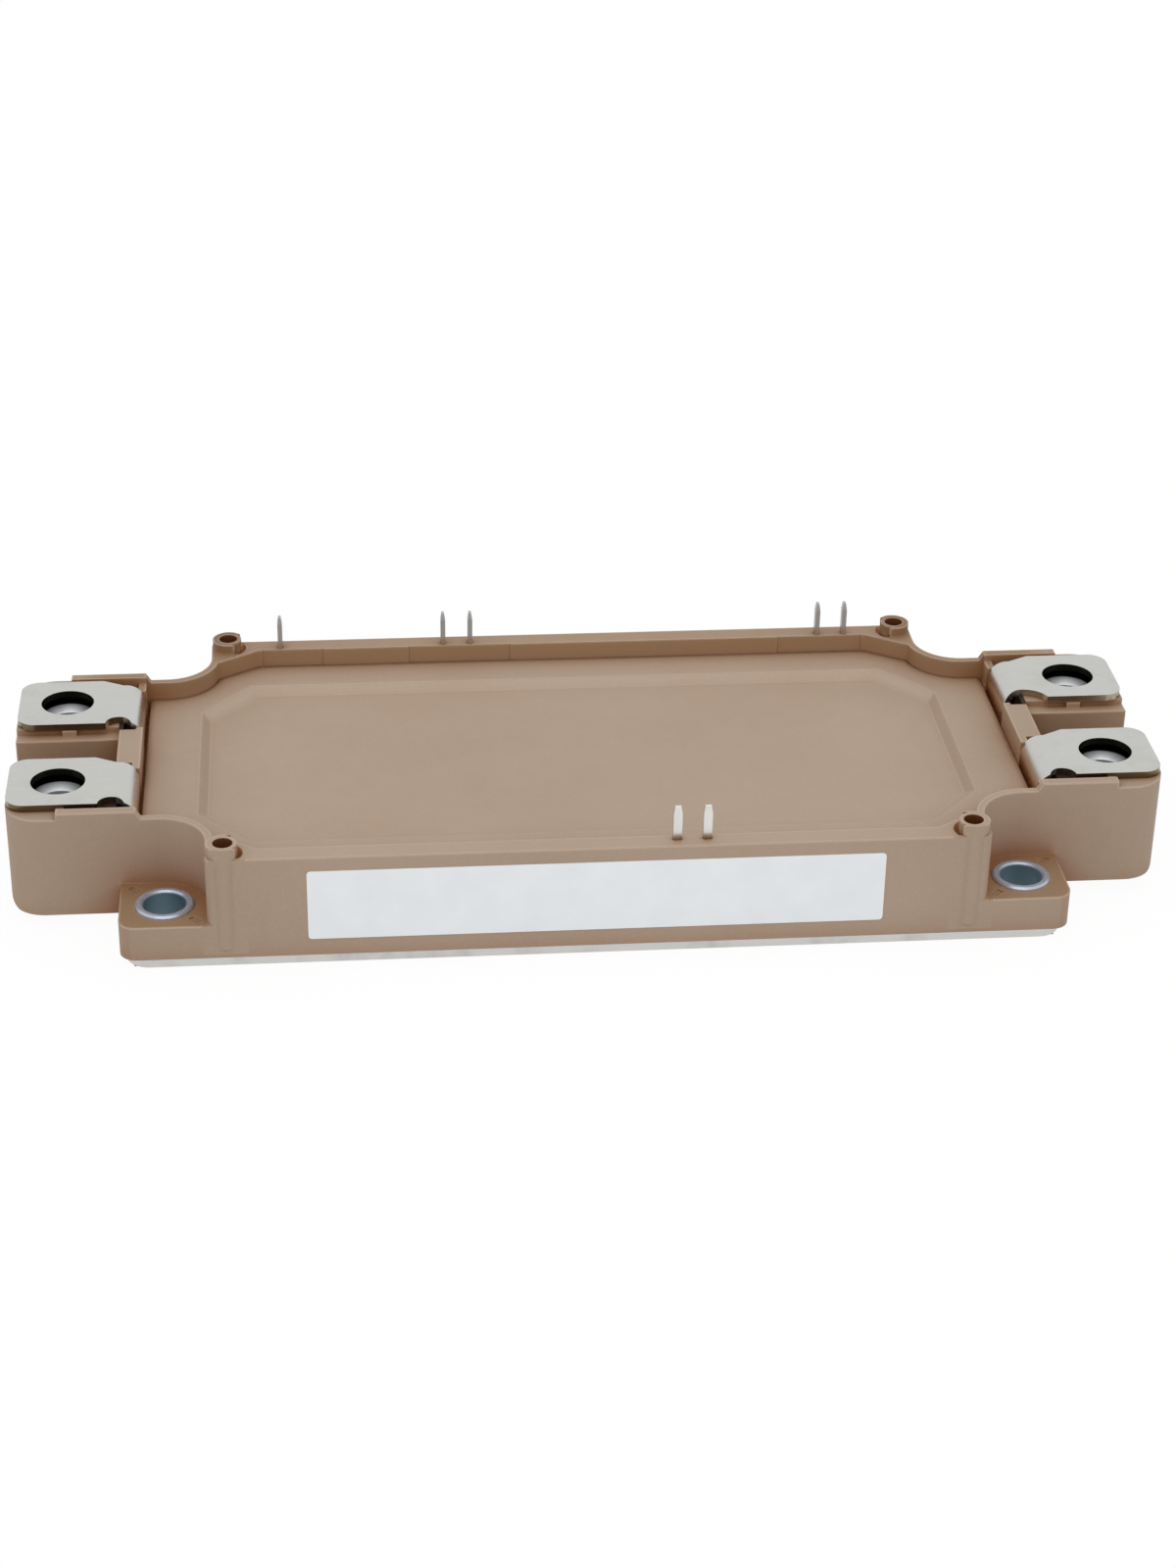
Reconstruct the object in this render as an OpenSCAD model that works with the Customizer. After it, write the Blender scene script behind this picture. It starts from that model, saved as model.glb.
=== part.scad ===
// Dual IGBT power module: half-bridge package with four screwed power terminals,
// seven signal pins and four board posts. Millimetres, +Z up.
// Origin: centre of the base plate's underside. Label side faces -Y.

/* [Package] */
// Length over the two terminal blocks
overall_l = 150; // [148:0.5:154]
// Length of the screwed foot
foot_l = 121.4; // [121.2:0.1:124]
// Width of the foot and of the body
foot_w = 61.2; // [61:0.1:62]
// Height of the power terminals above the heatsink
terminal_top = 17; // [16.6:0.1:18]
// Height of the signal pin tips above the heatsink
pin_top = 20.5; // [19.5:0.5:24]

/* [Base plate] */
// Length of the base plate
plate_l = 120; // [118:0.5:121]
// Width of the base plate
plate_w = 59.2; // [58:0.1:60]
// Thickness of the base plate
plate_t = 3; // [2.5:0.1:3.5]
// Corner radius of the base plate
plate_corner = 3; // [1:0.5:4]

/* [Housing] */
// Height of the skirt's lower edge above the heatsink
skirt_z = 1.7; // [1:0.1:2.2]
// Height of the four screw flanges
flange_top = 6.4; // [5.5:0.1:7]
// Length of the raised body between the screw pockets
body_l = 99.1; // [98.6:0.1:99.3]
// Radius in the corner of each screw pocket
pocket_r = 6; // [5:0.5:7]
// Radius of the body's four upright edges
body_corner = 1; // [0.5:0.1:2]
// Height of the body's rim
rim_top = 15.8; // [15.6:0.1:16]
// Thickness of the rim along the two long sides
rim_t = 2.8; // [2.4:0.1:3.2]
// Thickness of the rim round the screw pockets
pocket_rim_t = 1; // [1:0.1:1.4]
// Outer corner radius of the foot
foot_corner = 2.2; // [1.6:0.1:3]

/* [Screw flanges] */
// Hole pitch along the module
hole_pitch_x = 110; // [110:0.5:110.5]
// Hole pitch across the module
hole_pitch_y = 50; // [49.5:0.5:50]
// Bore of the steel bushings, for M5 screws
bushing_bore = 5.5; // [5.3:0.1:6]
// Outer diameter of the steel bushings
bushing_od = 7.5; // [7.3:0.1:8.1]
// Width of the bushing's edge chamfer
bushing_chamfer = 0.25; // [0.2:0.05:0.4]
// How far the bushings stand above the flange
bushing_proud = 0.4; // [0:0.05:0.5]

/* [Board posts] */
// Post pitch along the module
post_pitch_x = 94.5; // [94:0.5:94.5]
// Post pitch across the module
post_pitch_y = 57.5; // [57.5:0.5:58]
// Outer diameter of a post
post_od = 4.3; // [4:0.1:4.6]
// Height of the posts above the heatsink
post_top = 17.25; // [16.8:0.05:17.5]
// Pilot hole for the board's self-tapping screws
post_hole = 2.5; // [2.2:0.1:2.8]
// Depth of the pilot hole
post_hole_depth = 9; // [7:0.5:10]

/* [Terminal blocks] */
// Width of a terminal block
block_w = 39; // [38:0.5:40]
// Height of a block's underside above the heatsink
block_z = 2.1; // [1.5:0.1:3]
// Width of the creepage slot between two terminals
slot_w = 6.6; // [6:0.2:7.4]
// Distance of the slot's closed end from the centre
slot_from = 61.4; // [61:0.1:62]
// Height of a block's side walls
side_wall_top = 16.85; // [16.6:0.05:17]
// Thickness of a block's side walls
side_wall_t = 1.4; // [1.2:0.1:1.5]
// Rounding of a block's outer corners, seen from above
block_corner = 4.6; // [3:0.2:5]
// Rounding of a block's lower outer edge
block_edge_r = 1.4; // [0.8:0.2:2]

/* [Power terminals] */
// Screw pitch along the module
terminal_pitch_x = 137; // [136:0.5:138]
// Screw pitch across the module
terminal_pitch_y = 22; // [21.8:0.1:22.2]
// Width of a terminal tab
tab_w = 12.4; // [12:0.1:12.6]
// Thickness of the terminal sheet
tab_t = 1; // [0.8:0.1:1.2]
// Screw hole in a tab
tab_hole = 7; // [6.4:0.1:7.4]
// Inner radius of the upper bend
bend_r = 1.6; // [1:0.2:2]
// Width of the bent leg
leg_w = 10.5; // [10:0.1:10.8]
// Distance of the leg's exposed face from the centre
leg_x = 58.3; // [58.2:0.1:58.6]
// Radius of the wide relief notch, on the back right tab
notch_wide = 3.3; // [2.8:0.1:3.4]
// Radius of the relief notch on the other three tabs
notch_small = 1.7; // [1.5:0.1:2]
// Width across flats of the terminal nuts, M6
nut_flats = 10; // [10:0.1:10.1]
// Height of the terminal nuts
nut_h = 5; // [4:0.5:5]
// Gap between a tab's underside and its nut
nut_gap = 0.9; // [0.5:0.1:1.2]

/* [Signal pins] */
// Grid of the signal pins
pin_grid = 3.81; // [3.81]
// Distance between the two pin rows
pin_row = 57.5; // [57.4:0.1:57.6]
// Width of a pin blade
pin_w = 1.15; // [1:0.05:1.3]
// Thickness of a pin blade
pin_t = 0.65; // [0.6:0.05:0.8]

/* [Lid and label] */
// Height of the lid's border above the heatsink
lid_top = 13.3; // [13:0.1:13.6]
// Thickness of the lid
lid_t = 2; // [1.6:0.1:2]
// Depth of the lid's sunk centre
lid_sink = 1; // [0.5:0.1:1.2]
// Length of the sunk centre
sink_l = 101.6; // [98:0.2:104]
// Width of the sunk centre
sink_w = 43.4; // [40:0.2:45]
// Length of the label
label_l = 73; // [60:0.2:76]
// Height of the label
label_h = 9.8; // [8:0.1:10]
// Height of the label's lower edge above the heatsink
label_z = 4.05; // [3:0.05:4.5]
// Corner radius of the label
label_corner = 0.5; // [0.2:0.1:1]

/* [Inside] */
// Length of one ceramic substrate along the module
tile_l = 30.4; // [29:0.2:30.6]
// Width of one ceramic substrate across the module
tile_w = 43; // [40:0.5:45]
// Distance between the substrates' centres
tile_pitch = 31.6; // [31.2:0.1:31.8]
// Thickness of the copper on each face
copper_t = 0.3; // [0.2:0.05:0.4]
// Thickness of the ceramic
ceramic_t = 0.4; // [0.3:0.05:0.6]
// Thickness of the chips
chip_t = 0.15; // [0.1:0.05:0.25]
// Diameter of the bond wires
wire_d = 0.4; // [0.3:0.05:0.5]
// Height of the gel's surface above the heatsink
gel_top = 9.4; // [9:0.1:10]

/* [Hidden] */
$fn = 64;

plastic = [0.66, 0.59, 0.52];
nickel = [0.80, 0.79, 0.76];
zinc = [0.70, 0.74, 0.79];
plate_grey = [0.74, 0.73, 0.72];
copper = [0.80, 0.50, 0.35];
ceramic_white = [0.93, 0.93, 0.90];
silicon = [0.30, 0.32, 0.36];
black = [0.15, 0.15, 0.15];
aluminium = [0.85, 0.86, 0.87];
gel_clear = [0.75, 0.82, 0.85, 0.4];
label_white = [0.96, 0.96, 0.95];

eps = 0.01;
cut = 1;
fit = 0.1;

// Screw pockets over the flanges
pocket_x = body_l / 2;
pocket_y = block_w / 2;

// Shallow slots beside the bushings: length, width, depth, distance from the hole's centre
flange_slot = [1.6, 0.8, 0.15];
flange_slot_r = 4.7;

// Footing inside the rim that carries a post: where it leaves the long side and meets the pocket
footing_x = 43;
footing_y = 23.7;

// Crescent beside the posts: radii, depth, distance kept from the seat, the wall and the post's axis
relief_from = 1.8;
relief_to = 2.45;
relief_depth = 1.6;
relief_in = 0.95;
relief_out = 0.45;
relief_x = 0.4;

// Room inside the housing
lower_x = pocket_x - 1.9;
lower_y = 23.5;
upper_x = pocket_x - 2.8;
upper_y = foot_w / 2 - 5.2;
upper_end_x = leg_x - 2;
upper_end_y = pocket_y - 2.5;
upper_corner = pocket_r + 3;
pin_ledge_z = 7;
terminal_ledge_z = 6.5;
seat_z = lid_top - lid_t;
seat_y = foot_w / 2 - rim_t;

// Terminal blocks
deck_z = terminal_top - tab_t;
ledge_z = deck_z - 0.8;
ledge_w = 2.2;
bend_floor_z = deck_z - 3;
tall_wall_from = 58.4;
tall_wall_to = 68.4;
wall_slope = 0.7;
lug_l = 1;
lug_h = 0.5;
side_groove_w = 0.9;
plateau_w = 9.4;
nib_l = 1.9;
nib_gap = 1.4;
nib_shift = -0.5;
nut_pocket_flats = nut_flats + fit;
nut_top = deck_z - nut_gap;
nut_z = nut_top - nut_h;
nut_cone_h = 0.9;
nut_cone_r = 3.4;
nut_entry_h = 0.7;
nut_entry_r = 3.2;
screw_clearance = 6.6;
screw_room_z = 4.5;

// Power terminals, drawn along X for the right end; the notched side faces -Y
tab_x = terminal_pitch_x / 2;
tab_y = terminal_pitch_y / 2;
tab_end = overall_l / 2 - 0.1;
tab_corner = 2.4;
tab_from = leg_x + tab_t + bend_r;
leg_shift = -0.55;
foot_from = 50.6;
foot_bend_r = 0.5;
shoulder_from = 61.2;
shoulder_to = 64;
notch_wide_x = leg_x + 2.9;
notch_wide_depth = 2.3;
notch_small_x = leg_x + 3.2;
notch_small_depth = 1.7;
notch_h = 6;
m6_minor_r = 2.5;

// Signal pins, in grid steps from the centre
back_pins = [-10.5, -4.5, -3.5, 9.5, 10.5];
front_pins = [2.5, 3.5];
pin_taper = 1;
pin_tip_w = 0.8;
pin_tip_t = 0.35;
pin_foot_to = 24.4;
pin_recess = 0.12;
pin_recess_spans = [[-42.5, -34], [-22, -7.7], [30.5, 42.5]];

// Lid
lid_gap = 0.15;
lid_end_x = leg_x - 0.5;
sink_chamfer_x = 6.6;
sink_chamfer_y = 7.4;
sink_slope = 1.3;
sink_floor_l = sink_l - 2 * sink_slope;
sink_floor_w = sink_w - 2 * sink_slope;
label_t = 0.08;
label_shift = -0.5;
lid_step = 2;

// Substrates and chips
ceramic_z = plate_t + copper_t;
track_z = ceramic_z + ceramic_t;
chip_z = track_z + copper_t;
wire_z = chip_z + chip_t;
track_margin = 1;
track_gap = 0.9;
high_track_w = 17;
low_track_w = 14;
igbt_size = 12;
diode_l = 10;
diode_w = 9;
igbt_x = -7.2;
diode_x = 7.6;
thermistor_size = [1.25, 1.6, 0.8];
thermistor_x = 12.8;
high_y = tile_w / 2 - track_margin - high_track_w / 2;
low_y = high_y - high_track_w / 2 - track_gap - low_track_w / 2;
rail_to = low_y - low_track_w / 2 - track_gap;
rail_w = rail_to + tile_w / 2 - track_margin;

// Bond wires: where each row starts and lands
wires_per_chip = 3;
wire_r_per_span = 0.7;
wire_shift = 1;
track_land = 0.4;
rail_land = 1.6;
foot_land = 1.4;
tile_land = 0.4;
wires_per_foot = 4;
foot_wire_step = 2.4;
pin_land = 0.6;
pin_wire_l = 5;
pin_wire_shifts = [0, -1.5, 0, 0, 0];

SIDES = [["left", -1], ["middle", 0], ["right", 1]];
// Corners: name, mirrored to the left, mirrored to the front
CORNERS = [["front_left", 1, 1], ["front_right", 0, 1], ["back_left", 1, 0], ["back_right", 0, 0]];

// ---------------------------------------------------------------- helpers

module at_corner(corner) mirror([corner[1], 0, 0]) mirror([0, corner[2], 0]) children();

module four_corners() for (corner = CORNERS) at_corner(corner) children();

// Terminals are alike along Y, and only mirrored from end to end
module at_terminal(corner) mirror([corner[1], 0, 0])
    translate([0, (1 - 2 * corner[2]) * tab_y, 0]) children();

module both_ends() for (end = [0, 1]) mirror([end, 0, 0]) children();

module both_sides() for (side = [0, 1]) mirror([0, side, 0]) children();

module slab(from, to) translate([0, 0, from]) linear_extrude(to - from) children();

module rounded_rect(l, w, r) {
    square([l - 2 * r, w], center = true);
    square([l, w - 2 * r], center = true);
    for (x = [r - l / 2, l / 2 - r], y = [r - w / 2, w / 2 - r]) translate([x, y]) circle(r = r);
}

// Body seen from above: a wide middle, narrower ends, hollow corners of radius r
module waisted(mid_x, mid_y, end_x, end_y, r) {
    square([2 * mid_x, 2 * mid_y], center = true);
    square([2 * end_x, 2 * end_y], center = true);
    four_corners() difference() {
        translate([mid_x - cut, end_y - cut]) square(r + cut);
        translate([mid_x + r, end_y + r]) circle(r = r);
    }
}

// Quarter ring of sheet metal round a bend's centre, opening towards -X and +Z
module bend(inner, t) intersection() {
    difference() {
        circle(r = inner + t);
        circle(r = inner);
    }
    translate([-inner - t, 0]) square(inner + t);
}

// ---------------------------------------------------------------- metal base

module base_plate() color(plate_grey) difference() {
    slab(0, plate_t) rounded_rect(plate_l, plate_w, plate_corner);
    four_corners() translate([hole_pitch_x / 2, hole_pitch_y / 2, -cut])
        cylinder(d = bushing_bore, h = plate_t + 2 * cut);
}

module bushing() color(zinc) translate([hole_pitch_x / 2, hole_pitch_y / 2, plate_t]) {
    bushing_h = flange_top + bushing_proud - plate_t;
    difference() {
        union() {
            cylinder(d = bushing_od, h = bushing_h - bushing_chamfer);
            translate([0, 0, bushing_h - bushing_chamfer])
                cylinder(r1 = bushing_od / 2, r2 = bushing_od / 2 - bushing_chamfer, h = bushing_chamfer);
        }
        translate([0, 0, -cut]) cylinder(d = bushing_bore, h = bushing_h + 2 * cut);
        translate([0, 0, bushing_h - bushing_chamfer])
            cylinder(r1 = bushing_bore / 2, r2 = bushing_bore / 2 + bushing_chamfer, h = bushing_chamfer);
    }
}

// ---------------------------------------------------------------- housing

module foot_solid() slab(skirt_z, flange_top) rounded_rect(foot_l, foot_w, foot_corner);

module body_solid() slab(plate_t, rim_top) {
    rounded_rect(body_l, foot_w, body_corner);
    waisted(pocket_x, foot_w / 2 - body_corner, leg_x, pocket_y, pocket_r);
}

// One terminal block seen from above, right end
module block_plan() {
    from = leg_x - 2 * cut;
    to = overall_l / 2;
    translate([from, -pocket_y]) square([to - block_corner - from, block_w]);
    translate([from, -pocket_y + block_corner]) square([to - from, block_w - 2 * block_corner]);
    both_sides() translate([to - block_corner, pocket_y - block_corner]) circle(r = block_corner);
}

// Block seen from the side, with its lower outer edge rounded and its side walls rising past the rim
module block_profile() {
    from = leg_x - 2 * cut;
    to = overall_l / 2;
    translate([from, block_z + block_edge_r]) square([to - from, rim_top - block_z - block_edge_r]);
    translate([from, block_z]) square([to - from - block_edge_r, rim_top - block_z]);
    translate([to - block_edge_r, block_z + block_edge_r]) circle(r = block_edge_r);
    polygon([
        [tall_wall_from - wall_slope, rim_top - cut], [tall_wall_from - wall_slope, rim_top],
        [tall_wall_from, side_wall_top], [to, side_wall_top], [to, rim_top - cut]
    ]);
}

module block_solid() intersection() {
    slab(block_z, side_wall_top) block_plan();
    translate([0, block_w, 0]) rotate([90, 0, 0]) linear_extrude(2 * block_w) block_profile();
}

// Everything taken from one block for a terminal, drawn for the back right corner
module block_recess() {
    inner = slot_w / 2;
    wall_in = pocket_y - side_wall_t;
    // deck under the tab, and above it, with a lug between the side wall and the tab
    difference() {
        translate([leg_x - cut, -cut, deck_z]) cube([tab_end, wall_in + cut, 2 * cut + tab_t]);
        translate([tall_wall_to - lug_l, wall_in - side_groove_w, deck_z - eps])
            cube([lug_l, side_groove_w + cut, lug_h + eps]);
    }
    translate([tall_wall_to, 0, deck_z]) cube([tab_end, pocket_y + cut, 2 * cut + tab_t]);
    // lower strip along the slot, with a nib that carries the tab
    difference() {
        translate([slot_from - eps, inner - cut, ledge_z]) cube([tab_end, cut + ledge_w, cut]);
        translate([tab_x - nib_l / 2 + nib_shift, inner + nib_gap, ledge_z - eps])
            cube([nib_l, ledge_w, deck_z - ledge_z]);
    }
    // room round the bend and along the side wall
    translate([leg_x + tab_t, plateau_w / 2, bend_floor_z])
        cube([bend_r, wall_in - plateau_w / 2, cut + deck_z - bend_floor_z]);
    translate([leg_x + tab_t, wall_in - side_groove_w, bend_floor_z])
        cube([tall_wall_to - lug_l - leg_x - tab_t, side_groove_w, cut + deck_z - bend_floor_z]);
    // nut pocket and room for the screw's end
    translate([tab_x, tab_y, nut_z])
        cylinder(r = nut_pocket_flats / 2 / cos(30), h = deck_z - nut_z + cut, $fn = 6);
    translate([tab_x, tab_y, screw_room_z]) cylinder(d = screw_clearance, h = nut_z - screw_room_z + cut);
}

module creepage_slot() translate([slot_from, -slot_w / 2, -cut])
    cube([overall_l, slot_w, side_wall_top + 2 * cut]);

module post_at_corner() translate([post_pitch_x / 2, post_pitch_y / 2, 0]) children();

// Crescent of clearance on the inboard side of each post
module post_relief() intersection() {
    post_at_corner() translate([0, 0, rim_top - relief_depth]) difference() {
        cylinder(r = relief_to, h = post_top - rim_top + relief_depth + cut);
        translate([0, 0, -cut]) cylinder(r = relief_from, h = post_top);
    }
    translate([post_pitch_x / 2 - post_od, seat_y - relief_in, 0])
        cube([post_od - relief_x, foot_w / 2 - relief_out - seat_y + relief_in, post_top + cut]);
}

// Short slots in the flange, two for each bushing
module flange_slots() for (turn = [-45, 135])
    translate([hole_pitch_x / 2, hole_pitch_y / 2, flange_top - flange_slot[2]]) rotate([0, 0, turn])
        translate([flange_slot_r, -flange_slot[1] / 2, 0]) cube([flange_slot[0], flange_slot[1], cut]);

// Outline of the lid and of the room for it; gap is the clearance round the lid
module lid_outline(end_x, gap) difference() {
    waisted(pocket_x - pocket_rim_t - gap, seat_y - gap,
        end_x, pocket_y - pocket_rim_t - gap, pocket_r + pocket_rim_t + gap);
    four_corners() translate([-gap, -gap]) polygon([
        [footing_x, seat_y], [pocket_x, footing_y], [pocket_x, foot_w / 2], [footing_x, foot_w / 2]
    ]);
}

module lid_room() slab(seat_z, rim_top + 3 * cut) lid_outline(leg_x, 0);

module upper_room() slab(pin_ledge_z, seat_z + cut) {
    waisted(upper_x, upper_y, upper_end_x, upper_end_y, upper_corner);
}

module terminal_ledge_room() slab(terminal_ledge_z, pin_ledge_z + cut)
    square([2 * upper_end_x, 2 * upper_end_y], center = true);

module lower_room() slab(plate_t - cut, pin_ledge_z + cut)
    square([2 * lower_x, 2 * lower_y], center = true);

// Shallow recess in the rim's inner face behind a group of pins
module pin_recesses() {
    for (span = pin_recess_spans)
        translate([span[0], seat_y - eps, seat_z]) cube([span[1] - span[0], pin_recess, rim_top]);
}

module housing_frame() color(plastic) difference() {
    union() {
        difference() {
            union() {
                foot_solid();
                body_solid();
                both_ends() block_solid();
            }
            lid_room();
            upper_room();
            terminal_ledge_room();
            lower_room();
            pin_recesses();
        }
        four_corners() post_at_corner() translate([0, 0, plate_t])
            cylinder(d = post_od, h = post_top - plate_t);
    }
    slab(0, plate_t) rounded_rect(plate_l + fit, plate_w + fit, plate_corner);
    four_corners() block_recess();
    for (corner = CORNERS) at_terminal(corner) leg_envelope();
    both_ends() creepage_slot();
    four_corners() translate([hole_pitch_x / 2, hole_pitch_y / 2, 0])
        cylinder(d = bushing_od, h = flange_top + cut);
    four_corners() post_at_corner() translate([0, 0, post_top - post_hole_depth])
        cylinder(d = post_hole, h = post_hole_depth + cut);
    four_corners() post_relief();
    four_corners() flange_slots();
    signal_pins();
}

// ---------------------------------------------------------------- lid and label

module octagon(l, w, cx, cy) polygon([
    [l / 2 - cx, w / 2], [l / 2, w / 2 - cy], [l / 2, cy - w / 2], [l / 2 - cx, -w / 2],
    [cx - l / 2, -w / 2], [-l / 2, cy - w / 2], [-l / 2, w / 2 - cy], [cx - l / 2, w / 2]
]);

// Sunk centre with a sloping border; grow widens it for the raised underside
module sink(top, grow) hull() {
    slab(top, top + cut) octagon(sink_l + grow, sink_w + grow, sink_chamfer_x, sink_chamfer_y);
    slab(top - lid_sink, top)
        octagon(sink_floor_l + grow, sink_floor_w + grow, sink_chamfer_x, sink_chamfer_y);
}

module lid() color(plastic) difference() {
    union() {
        slab(seat_z, lid_top) lid_outline(lid_end_x, lid_gap);
        slab(seat_z - lid_sink, seat_z + eps)
            square([2 * (upper_x - lid_step), sink_w], center = true);
    }
    sink(lid_top, 0);
}

module label() color(label_white) translate([label_shift, -foot_w / 2, label_z + label_h / 2])
    rotate([90, 0, 0]) linear_extrude(label_t) rounded_rect(label_l, label_h, label_corner);

// ---------------------------------------------------------------- power terminals

// Leg and foot seen from the side
module leg_profile() {
    leg_from = terminal_ledge_z + tab_t + foot_bend_r;
    translate([foot_from, terminal_ledge_z]) square([leg_x - foot_bend_r - foot_from, tab_t]);
    translate([leg_x - foot_bend_r, leg_from]) mirror([1, 0]) mirror([0, 1]) bend(foot_bend_r, tab_t);
    translate([leg_x, leg_from]) square([tab_t, deck_z - bend_r - leg_from]);
}

module across_leg() translate([0, leg_shift + leg_w / 2, 0])
    rotate([90, 0, 0]) linear_extrude(leg_w) children();

// Room for the leg in the housing, open upwards over the bend
module leg_envelope() {
    across_leg() leg_profile();
    translate([leg_x - eps, leg_shift - leg_w / 2, deck_z - bend_r - eps])
        cube([tab_t + 2 * eps, leg_w, bend_r + cut]);
}

// Tab seen from above, with a slanted shoulder where it narrows to the leg
module tab_plan() difference() {
    union() {
        translate([tab_from, -tab_w / 2]) square([tab_end - tab_corner - tab_from, tab_w]);
        translate([tab_from, tab_corner - tab_w / 2]) square([tab_end - tab_from, tab_w - 2 * tab_corner]);
        for (side = [-1, 1])
            translate([tab_end - tab_corner, side * (tab_w / 2 - tab_corner)]) circle(r = tab_corner);
    }
    polygon([
        [tab_from - cut, leg_shift + leg_w / 2], [shoulder_from, leg_shift + leg_w / 2],
        [shoulder_to, tab_w / 2], [shoulder_to, tab_w], [tab_from - cut, tab_w]
    ]);
}

// x, r and depth place the round relief notch
module power_terminal(x, r, depth) color(nickel) difference() {
    union() {
        across_leg() {
            leg_profile();
            translate([tab_from, deck_z - bend_r]) bend(bend_r, tab_t);
        }
        slab(deck_z, terminal_top) tab_plan();
    }
    translate([tab_x, 0, deck_z - cut]) cylinder(d = tab_hole, h = tab_t + 2 * cut);
    translate([x, depth - r - tab_w / 2, bend_floor_z]) cylinder(r = r, h = notch_h);
}

module terminal_nut() color(zinc) translate([tab_x, 0, nut_z]) difference() {
    cylinder(r = nut_flats / 2 / cos(30), h = nut_h, $fn = 6);
    translate([0, 0, -cut]) cylinder(r = m6_minor_r, h = nut_h + 2 * cut);
    translate([0, 0, nut_h - nut_cone_h]) cylinder(r1 = m6_minor_r, r2 = nut_cone_r, h = nut_cone_h);
    cylinder(r1 = nut_entry_r, r2 = m6_minor_r, h = nut_entry_h);
}

// ---------------------------------------------------------------- signal pins

// A blade's outline seen along one of its faces
module blade_outline(w, tip) polygon([
    [-w / 2, pin_ledge_z], [w / 2, pin_ledge_z], [w / 2, pin_top - pin_taper],
    [tip / 2, pin_top], [-tip / 2, pin_top], [-w / 2, pin_top - pin_taper]
]);

module pin_blade() intersection() {
    rotate([90, 0, 0]) linear_extrude(pin_w, center = true) blade_outline(pin_w, pin_tip_w);
    rotate([90, 0, 90]) linear_extrude(pin_w, center = true) blade_outline(pin_t, pin_tip_t);
}

// Wide face along the front row, narrow edge along the back row; each foot points inwards
module front_pin() color(nickel) {
    translate([0, -pin_row / 2, 0]) pin_blade();
    translate([-pin_w / 2, -pin_row / 2, pin_ledge_z]) cube([pin_w, pin_row / 2 - pin_foot_to, pin_t]);
}

module back_pin() color(nickel) {
    translate([0, pin_row / 2, 0]) rotate([0, 0, 90]) pin_blade();
    translate([-pin_t / 2, pin_foot_to, pin_ledge_z]) cube([pin_t, pin_row / 2 - pin_foot_to, pin_t]);
}

module signal_pins() {
    for (step = front_pins) translate([step * pin_grid, 0, 0]) front_pin();
    for (step = back_pins) translate([step * pin_grid, 0, 0]) back_pin();
}

// ---------------------------------------------------------------- inside

module at_tile(side) translate([side[1] * tile_pitch, 0, 0]) children();

module copper_underside() color(copper)
    slab(plate_t, ceramic_z) square([tile_l - 2 * track_margin, tile_w - 2 * track_margin], center = true);

module ceramic_tile() color(ceramic_white)
    slab(ceramic_z, track_z) square([tile_l, tile_w], center = true);

module copper_tracks() color(copper) slab(track_z, chip_z) {
    translate([0, high_y]) square([tile_l - 2 * track_margin, high_track_w], center = true);
    translate([0, low_y]) square([tile_l - 2 * track_margin, low_track_w], center = true);
    translate([0, rail_to - rail_w / 2]) square([tile_l - 2 * track_margin, rail_w], center = true);
}

module igbt(y) color(silicon)
    slab(chip_z, wire_z) translate([igbt_x, y]) square(igbt_size, center = true);

module diode(y) color(silicon)
    slab(chip_z, wire_z) translate([diode_x, y]) square([diode_l, diode_w], center = true);

// One wire loop along Y, from height z1 at y1 down to height z2 at y2
module wire_loop(y1, z1, y2, z2) {
    span = abs(y1 - y2);
    r = span * wire_r_per_span;
    drop = sqrt(r * r - span * span / 4);
    mid = (y1 + y2) / 2;
    difference() {
        translate([0, mid, z1 - drop]) rotate([90, 0, 90]) rotate_extrude()
            translate([r, 0]) circle(d = wire_d, $fn = 16);
        translate([-cut, mid, 0]) rotate([90, 0, 90]) linear_extrude(2 * cut) polygon([
            [-2 * r, z2], [0, z2], [0, z1], [2 * r, z1], [2 * r, z1 - 3 * r], [-2 * r, z1 - 3 * r]
        ]);
    }
}

module wire_rows(x, l, count) for (i = [0 : count - 1])
    translate([x + ((i + 0.5) / count - 0.5) * l, 0, 0]) children();

module bond_wires() color(aluminium) for (chip = [[igbt_x, igbt_size], [diode_x, diode_l]])
    wire_rows(chip[0], chip[1], wires_per_chip) {
        wire_loop(high_y, wire_z, low_y + low_track_w / 2 - track_land, chip_z);
        wire_loop(low_y - wire_shift, wire_z, rail_to - rail_land, chip_z);
    }

// Wires from each terminal foot down to the outer substrates
module terminal_wires() color(aluminium) for (corner = CORNERS) at_terminal(corner)
    for (i = [0 : wires_per_foot - 1])
        translate([0, leg_shift + (i - (wires_per_foot - 1) / 2) * foot_wire_step, 0]) rotate([0, 0, -90])
            wire_loop(foot_from + foot_land, terminal_ledge_z + tab_t,
                tile_pitch + tile_l / 2 - tile_land, chip_z);

// One wire from a pin's foot down to the substrate beside it
module pin_wire(shift) translate([0, pin_foot_to + pin_land, 0])
    rotate([0, 0, atan(shift / pin_wire_l)]) wire_loop(0, pin_ledge_z + pin_t, -pin_wire_l, chip_z);

module signal_wires() color(aluminium) {
    for (i = [0 : len(back_pins) - 1])
        translate([back_pins[i] * pin_grid, 0, 0]) pin_wire(pin_wire_shifts[i]);
    for (step = front_pins) translate([step * pin_grid, 0, 0]) mirror([0, 1, 0]) pin_wire(0);
}

module thermistor() color(black)
    translate([thermistor_x, tile_w / 2 - track_margin - thermistor_size[1], chip_z]) cube(thermistor_size);

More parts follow.
